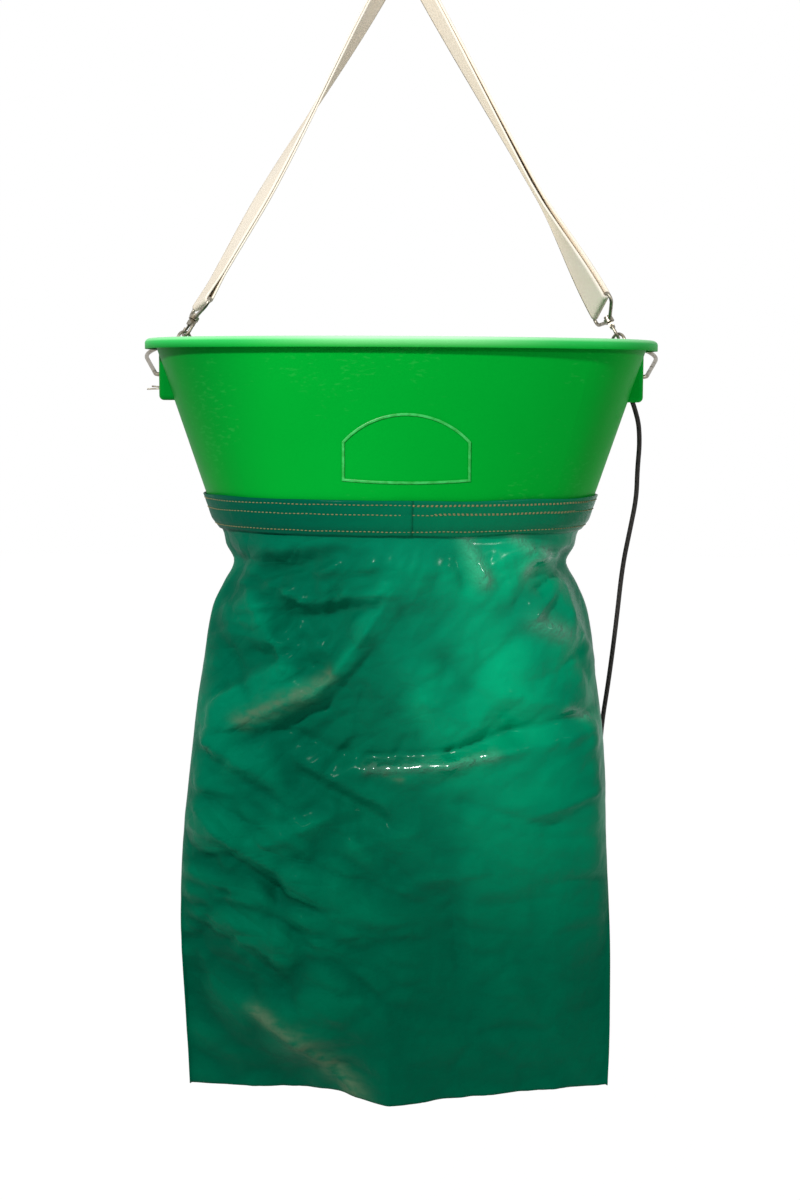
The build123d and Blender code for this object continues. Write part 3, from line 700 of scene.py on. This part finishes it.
def sew(row, start, stop, shift):
    """Stitches along a row, between two shares of the way round."""
    count = int((stop - start) / stitch_step)
    for number in range(count):
        share = start + (stop - start) * number / count
        wander = stitch_wander * noise.noise(Vector((share * 40, row * 900, shift)))
        drop = row + wander + shift
        this_place, out = band_point(share, drop)
        next_place = band_point(share + stitch_step * stitch_share, drop)[0]
        along = (next_place - this_place).normalized()
        turn = Matrix((along, out, out.cross(along))).transposed().to_4x4()
        middle = Matrix.Translation((this_place + next_place) / 2)
        lay = middle @ turn @ Matrix.Diagonal(stitch_size)
        bmesh.ops.create_uvsphere(shape, u_segments=6, v_segments=4, radius=1, matrix=lay)


for row in stitch_rows:
    sew(row, 0.0, 1.0, 0.0)
sew(stitch_rows[0], 0.51, 0.70, 0.0008)
sew(stitch_rows[1], 0.53, 0.68, -0.0009)
new_piece("band_stitching", shape, thread)

# Cord: black braided cord, about four and a half millimetres thick and quite limp.
# It comes out of the right lug, hangs beside the sleeve and ends at the eyelet behind it.
# Its route is in millimetres from the middle of the tub's rim.
cord_route = (
    (222.1, -9.0, -67.2), (225.5, -4.0, -93.0), (224.5, 3.0, -120.0), (225.0, 9.0, -147.0),
    (220.5, 14.0, -176.0), (214.0, 19.0, -214.0), (209.5, 21.0, -268.0), (203.5, 24.0, -326.0),
    (197.5, 28.0, -372.0), (196.0, 34.0, -424.0), (191.0, 46.0, -476.0), (181.0, 57.0, -526.0),
    (167.0, 65.0, -572.0), (151.0, 68.0, -612.0), (138.0, 68.0, -647.0), (128.0, 66.0, -677.0),
)
cord_thick = 0.0045


def middle_of(node):
    """Centre of a CAD node's box."""
    lowest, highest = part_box(node)
    return (Vector(lowest) + Vector(highest)) / 2


cord_points = [middle_of("cord_top_knot")]
for x, y, z in cord_route:
    cord_points.append(Vector((x / 1000, tub_y + y / 1000, rim_z + z / 1000)))
cord_points.append(middle_of("cord_end_knot"))
braid, here, feed = new_finish("black_braid")
strands = here.stretch((1.0, 1.0, 0.55)).wave("DIAGONAL", 210.0, 1.5, 1.0)
fuzz = here.grain(700.0, 3.0)
feed(
    Base_Color=(strands * fuzz).tint(colour(12, 10, 9), colour(50, 43, 37)),
    Roughness=0.72 + 0.2 * fuzz,
    Normal=(strands * 0.8 + fuzz * 0.4).bump(0.0006),
)


def cord_piece(name, node, points, thickness, closed=False):
    """A round cord on a smooth line with these control points, in the place of a CAD node."""
    curve = bpy.data.curves.new(name, "CURVE")
    curve.dimensions = "3D"
    line = curve.splines.new("NURBS")
    line.points.add(len(points) - 1)
    for point, place in zip(line.points, points):
        point.co = (*place, 1.0)
    line.order_u = 3
    line.use_endpoint_u = not closed
    line.use_cyclic_u = closed
    line.resolution_u = 10
    curve.bevel_depth = thickness / 2
    curve.bevel_resolution = 5
    curve.use_fill_caps = not closed
    piece = bpy.data.objects.new(name, curve)
    bpy.context.scene.collection.objects.link(piece)
    curve.materials.append(braid)
    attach(piece, "basket")
    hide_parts(node)
    return piece


cord = cord_piece("cord_line", "cord", cord_points, cord_thick)

# Knots: an overhand knot pulled tight in each end of the cord, one inside the lug and one
# behind the eyelet, each lying in the place of its stop.
knot_thick = 0.0042
knot_ring = 0.0021
knot_swing = 0.0011
knot_rise = 0.0020
knot_points = 18
for node, way in (("cord_top_knot", cord_points[1] - cord_points[0]),
                  ("cord_end_knot", cord_points[-1] - cord_points[-2])):
    turn = way.to_track_quat("Z", "Y").to_matrix()
    centre = middle_of(node)
    knot_line = []
    for number in range(knot_points):
        angle = 2 * math.pi * number / knot_points
        ring = knot_ring + knot_swing * math.cos(3 * angle)
        rise = knot_rise * math.sin(3 * angle)
        spot = Vector((ring * math.cos(2 * angle), ring * math.sin(2 * angle), rise))
        knot_line.append(centre + turn @ spot)
    cord_piece(node + "_tied", node, knot_line, knot_thick, closed=True)

# Eyelet: a two-part pressed ring that keeps the cord from tearing the sheet.
# It is brass gone dull, with darker spots.
brass, here, feed = new_finish("dull_brass")
spots = here.grain(300.0, 3.0)
feed(
    Base_Color=spots.tint(colour(150, 122, 66), colour(206, 178, 112)),
    Roughness=0.3 + 0.3 * spots,
    Metallic=1.0,
    Normal=here.grain(800.0).bump(0.0001),
)
nodes["cord_eyelet"].material_slots[0].material = brass

# Strap: one endless band of cream cotton webbing, folded round the bar of each loop and doubled
# over the peg. It hangs flat from the bars, then turns to lie square on the peg.
# Sides are -1 for left and 1 for right, and layers are -1 for inner and 1 for outer.
strap_width = 0.050
strap_thick = 0.002
woven_share = 0.9
layer_gap = 0.0002
peg_radius = 0.014
bar_rise = 0.038
bar_radius = 0.00175
bar_half = bar_radius + layer_gap
twists = {-1: 24.0, 1: 8.0}
twists_above = {-1: 29.0, 1: -14.0}
turned_above = 0.14
square_from = 0.1
closing = {-1: 14.0, 1: 1.0}
leg_steps = 90
fold_steps = 10
bend_steps = 14
joints = {joint["name"]: joint for joint in frame["record"]["behaviour"]["joints"]}
swivels = {-1: joints["left_hook_swivel"], 1: joints["right_hook_swivel"]}
bends = {side: Vector(swivel["pos_m"]) for side, swivel in swivels.items()}
pulls = {side: Vector(swivel["axis"]) for side, swivel in swivels.items()}
square = Vector((0, bends[1].z, -bends[1].y)).normalized()
upward = square.cross(Vector((1, 0, 0)))
mid_radius = peg_radius + strap_thick + layer_gap / 2
peg_middle = -peg_radius * upward
leg_length = math.sqrt((bends[1] - peg_middle).length ** 2 - mid_radius**2)


def leg_station(side, layer, rise):
    """Middle of one layer of webbing, and its direction across, this far up from a hook's bend."""
    above = rise - bar_rise
    onward = step(above, square_from, leg_length - bar_rise)
    turned = twists[side] + (twists_above[side] - twists[side]) * step(above, 0.0, turned_above)
    twist = math.radians(turned * (1 - onward))
    across = Matrix.Rotation(twist, 3, pulls[side]) @ square
    face = pulls[side].cross(across)
    foot = bar_half + strap_thick / 2
    head = (strap_thick + layer_gap) / 2
    climb = above / (leg_length - bar_rise)
    shift = side * layer * (foot + (head - foot) * min(1.0, climb * closing[side]))
    return bends[side] + pulls[side] * rise + face * shift, across


def fold_stations(side, first):
    """Half a turn round a loop's bar, from one layer to the other."""
    middle = bends[side] + pulls[side] * bar_rise
    across = Matrix.Rotation(math.radians(twists[side]), 3, pulls[side]) @ square
    face = pulls[side].cross(across)
    radius = bar_half + strap_thick / 2
    found = []
    for number in range(1, fold_steps):
        angle = math.pi * number / fold_steps
        beyond = middle + face * (side * first * radius * math.cos(angle))
        found.append((beyond - pulls[side] * (radius * math.sin(angle)), across))
    return found


def bend_stations(layer, way):
    """The layer's turn over the peg, from the side it comes from to the other."""
    radius = mid_radius + layer * (strap_thick + layer_gap) / 2
    touch = leg_station(1, layer, leg_length)[0] - peg_middle
    start = math.atan2(touch.dot(upward), touch.x)
    found = []
    for number in range(1, bend_steps):
        angle = start + (math.pi - 2 * start) * number / bend_steps
        if way < 0:
            angle = math.pi - angle
        spot = Vector((radius * math.cos(angle), 0, 0)) + upward * (radius * math.sin(angle))
        found.append((peg_middle + spot, square))
    return found


leg = leg_length - bar_rise
rises = [bar_rise + leg * number / leg_steps for number in range(leg_steps + 1)]
stations = [leg_station(-1, 1, rise) for rise in rises]
stations += bend_stations(1, -1)
stations += [leg_station(1, 1, rise) for rise in reversed(rises)]
stations += fold_stations(1, 1)
stations += [leg_station(1, -1, rise) for rise in rises]
stations += bend_stations(-1, 1)
stations += [leg_station(-1, -1, rise) for rise in reversed(rises)]
stations += fold_stations(-1, -1)
stations.append(stations[0])
spans = len(stations) - 1
shape = bmesh.new()
shape.loops.layers.uv.new("weave")
bmesh.ops.create_grid(shape, x_segments=spans, y_segments=10, size=0.5, calc_uvs=True)
for vert in shape.verts:
    middle, across = stations[round((vert.co.x + 0.5) * spans)]
    vert.co = middle + across * (vert.co.y * strap_width)
bmesh.ops.remove_doubles(shape, verts=shape.verts[:], dist=same_point)
bmesh.ops.recalc_face_normals(shape, faces=shape.faces[:])
webbing, here, feed = new_finish("cream_webbing")
yarns = here.node("ShaderNodeTexCoord", {}, out="UV").stretch((300.0, 10.0, 1.0))
ribs = yarns.wave("Y", 1.0, 0.3)
picks = yarns.wave("X", 1.6, 0.3)
soil = here.grain(24.0, 4.0)
cream = soil.tint(colour(255, 241, 221), colour(255, 251, 242))
feed(
    Base_Color=((1 - ribs * picks) * 0.16).tint(cream, colour(206, 188, 152)),
    Roughness=0.8 + 0.15 * soil,
    Normal=(ribs * 0.6 + picks * 0.4 + here.grain(900.0) * 0.2).bump(0.00012),
    Sheen_Weight=0.5,
    Sheen_Tint=(1.0, 0.84, 0.60, 1),
)
strap = new_piece("strap_webbing", shape, webbing)
thicken(strap, strap_thick * woven_share, 0.0)
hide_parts("strap")

# Studio: a plain pale floor well below the hanging basket and an even white surround, with a
# small lamp at the front left, a weaker one at the front right, and a camera tipped down a little.
floor_half = 9.0
floor_z = -1.42
floor_glow = 1.04
glow_share = 0.95
surround_light = 0.28
white = (1, 1, 1, 1)
floor_shape = bmesh.new()
bmesh.ops.create_grid(floor_shape, x_segments=1, y_segments=1, size=floor_half)
floor_mesh = bpy.data.meshes.new("floor")
floor_shape.to_mesh(floor_mesh)
floor_shape.free()
floor_mesh.transform(Matrix.Translation((0, 0, floor_z)))
floor = bpy.data.objects.new("floor", floor_mesh)
bpy.context.scene.collection.objects.link(floor)


def looked_at(tree):
    """1 where something is looked at, at once or in a shiny or clear surface, and 0 for its light."""
    rays = tree.nodes.new("ShaderNodeLightPath")
    seen = Value(tree, rays.outputs["Is Camera Ray"]) + Value(tree, rays.outputs["Is Glossy Ray"])
    return seen + Value(tree, rays.outputs["Is Transmission Ray"])


pale, here, feed = new_finish("pale_floor")
feed(Base_Color=(0.9, 0.9, 0.9, 1), Roughness=0.9)
tree = pale.node_tree
plain = Value(tree, tree.nodes["Principled BSDF"].outputs[0])
seen = looked_at(tree) * glow_share
glow = seen.node("ShaderNodeEmission", {"Color": white, "Strength": floor_glow})
both = seen.node("ShaderNodeMixShader", {0: seen, 1: plain, 2: glow})
tree.links.new(both.socket, tree.nodes["Material Output"].inputs["Surface"])
floor_mesh.materials.append(pale)

world = bpy.data.worlds.new("studio")
bpy.context.scene.world = world
world.use_nodes = True
tree = world.node_tree
sky = tree.nodes["Background"]
sky.inputs["Color"].default_value = white
strength = surround_light + looked_at(tree) * (1 - surround_light)
tree.links.new(strength.socket, sky.inputs["Strength"])
basket_middle = Vector((0, -0.2, -0.5))


def lamp(name, place, size, watts):
    """A square area light aimed at the basket."""
    light = bpy.data.lights.new(name, "AREA")
    light.size = size
    light.energy = watts
    piece = bpy.data.objects.new(name, light)
    piece.location = place
    piece.rotation_euler = (basket_middle - Vector(place)).to_track_quat("-Z", "Y").to_euler()
    bpy.context.scene.collection.objects.link(piece)


lamp("key", (-1.15, -2.2, 0.75), 0.22, 64)
lamp("fill", (1.8, -1.9, 0.3), 0.18, 13)

tipped_down = 6.6
rolled = 0.3
camera = bpy.data.cameras.new("camera")
camera.sensor_fit = "VERTICAL"
camera.sensor_height = 24.0
camera.lens = 36.2
camera_piece = bpy.data.objects.new("camera", camera)
camera_piece.location = (0.0, -1.917, -0.427)
tip = Matrix.Rotation(math.radians(90 - tipped_down), 4, "X")
roll = Matrix.Rotation(math.radians(rolled), 4, "Z")
camera_piece.rotation_euler = (tip @ roll).to_euler()
bpy.context.scene.collection.objects.link(camera_piece)
bpy.context.scene.camera = camera_piece
bpy.context.scene.view_settings.view_transform = "Standard"
